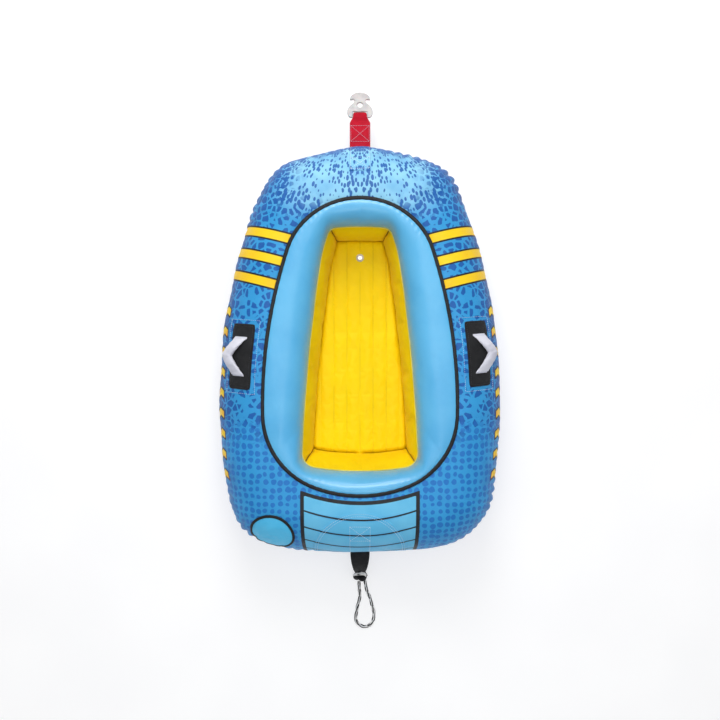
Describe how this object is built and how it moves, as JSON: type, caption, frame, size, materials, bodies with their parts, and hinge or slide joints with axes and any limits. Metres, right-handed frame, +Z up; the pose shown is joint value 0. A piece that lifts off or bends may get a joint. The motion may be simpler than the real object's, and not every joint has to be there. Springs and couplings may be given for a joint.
{
  "type": "towable tube",
  "caption": "Inflatable one-rider towable tube with a walled cockpit, side grab handles, a flapped valve, a towing strap with hook and a rope tail loop.",
  "frame": {"origin": "on the ground plane, at the middle of the flat base", "axes": "+Y towards the nose and the towing hook, +Z up, +X to the rider's right when facing the nose"},
  "size_m": [0.8628, 1.6986, 0.2922],
  "materials": {
    "printed_cloth": "coated woven polyester, printed with blue scales",
    "collar_cloth": "smooth coated cloth, light blue",
    "wall_cloth": "coated cloth, yellow",
    "base_cloth": "plain woven polyester, black",
    "floor_vinyl": "supported vinyl, yellow",
    "bladder_vinyl": "welded vinyl",
    "black_tape": "woven binding tape, black",
    "weld_tape": "pale seam tape",
    "black_webbing": "woven webbing, black",
    "red_webbing": "woven webbing, red",
    "pad_neoprene": "laminated foam rubber, black",
    "grip_nylon": "woven nylon tube, white",
    "flap_cloth": "coated cloth, blue",
    "rope_fibre": "braided rope, black and white",
    "hook_plastic": "moulded, pale grey, slightly translucent",
    "white_plastic": "moulded, white",
    "valve_plastic": "moulded, black",
    "zipper_plastic": "moulded coil",
    "zipper_metal": "painted die casting",
    "eyelet_metal": "pressed and plated"
  },
  "bodies": {
    "tube": {"main_bladder": "bladder_vinyl", "floor_bladder": "bladder_vinyl", "floor_panel": "floor_vinyl", "base_panel": "base_cloth", "lower_cover": "base_cloth", "top_cover": "printed_cloth", "perimeter_seam_tape": "black_tape", "collar_piping": "black_tape", "cockpit_collar": "collar_cloth", "front_wall_panel": "wall_cloth", "rear_wall_panel": "wall_cloth", "left_wall_panel": "wall_cloth", "right_wall_panel": "wall_cloth", "rim_seam": "weld_tape", "drain_eyelet": "eyelet_metal", "drain_eyelet_lower": "eyelet_metal", "drain_tube": "white_plastic", "harness_upper": "printed_cloth", "harness_lower": "black_webbing", "tail_patch": "printed_cloth", "left_handle_pad": "pad_neoprene", "right_handle_pad": "pad_neoprene", "left_handle_tabs": "black_webbing", "right_handle_tabs": "black_webbing", "valve_base": "valve_plastic", "valve_body": "valve_plastic", "flap_fastener_ring": "black_tape", "zipper_tape": "black_tape", "zipper_teeth": "zipper_plastic"},
    "towing_strap": {"tow_strap": "red_webbing"},
    "towing_hook": {"tow_hook": "hook_plastic"},
    "left_handle": {"left_handle_grip": "grip_nylon"},
    "right_handle": {"right_handle_grip": "grip_nylon"},
    "tail": {"tail_strap": "black_webbing", "rope_knot": "rope_fibre", "rope_loop": "rope_fibre"},
    "flap": {"valve_flap": "flap_cloth", "flap_binding": "black_tape"},
    "cap": {"valve_cap": "valve_plastic"},
    "slider": {"zipper_slider": "zipper_metal"},
    "pull": {"zipper_pull": "zipper_metal"}
  },
  "joints": [
    {"name": "tow_strap_swing", "type": "hinge", "parent": "tube", "child": "towing_strap", "pos_m": [0, 0.6255, 0.122], "axis": [1, 0, 0], "range_deg": [-50, 60]},
    {"name": "tow_hook_swing", "type": "hinge", "parent": "towing_strap", "child": "towing_hook", "pos_m": [0, 0.73443, 0.10669], "axis": [1, 0, 0], "range_deg": [-70, 70]},
    {"name": "left_handle_swing", "type": "hinge", "parent": "tube", "child": "left_handle", "pos_m": [-0.3508, -0.01943, 0.27918], "axis": [0.0822, 0.9966, 0], "range_deg": [0, 130]},
    {"name": "right_handle_swing", "type": "hinge", "parent": "tube", "child": "right_handle", "pos_m": [0.35006, -0.01073, 0.27918], "axis": [0.0876, -0.9962, 0], "range_deg": [0, 130]},
    {"name": "tail_strap_swing", "type": "hinge", "parent": "tube", "child": "tail", "pos_m": [0, -0.6255, 0.118], "axis": [-1, 0, 0], "range_deg": [0, 80]},
    {"name": "valve_flap_lift", "type": "hinge", "parent": "tube", "child": "flap", "pos_m": [-0.2455, -0.49025, 0.27653], "axis": [-0.9655, 0.2605, 0], "range_deg": [0, 150]},
    {"name": "valve_cap_turn", "type": "hinge", "parent": "tube", "child": "cap", "pos_m": [-0.26113, -0.54816, 0.24189], "axis": [-0.1709, -0.6334, 0.7547], "range_deg": [0, 90]},
    {"name": "zipper_slide", "type": "hinge", "parent": "tube", "child": "slider", "pos_m": [1.25805, -0.15212, 0.052], "axis": [0, 0, 1], "range_deg": [0, 19]},
    {"name": "zipper_pull_swing", "type": "hinge", "parent": "slider", "child": "pull", "pos_m": [-0.36884, 0.30518, 0.052], "axis": [0.2706, 0.9627, 0], "range_deg": [0, 100]}
  ]
}
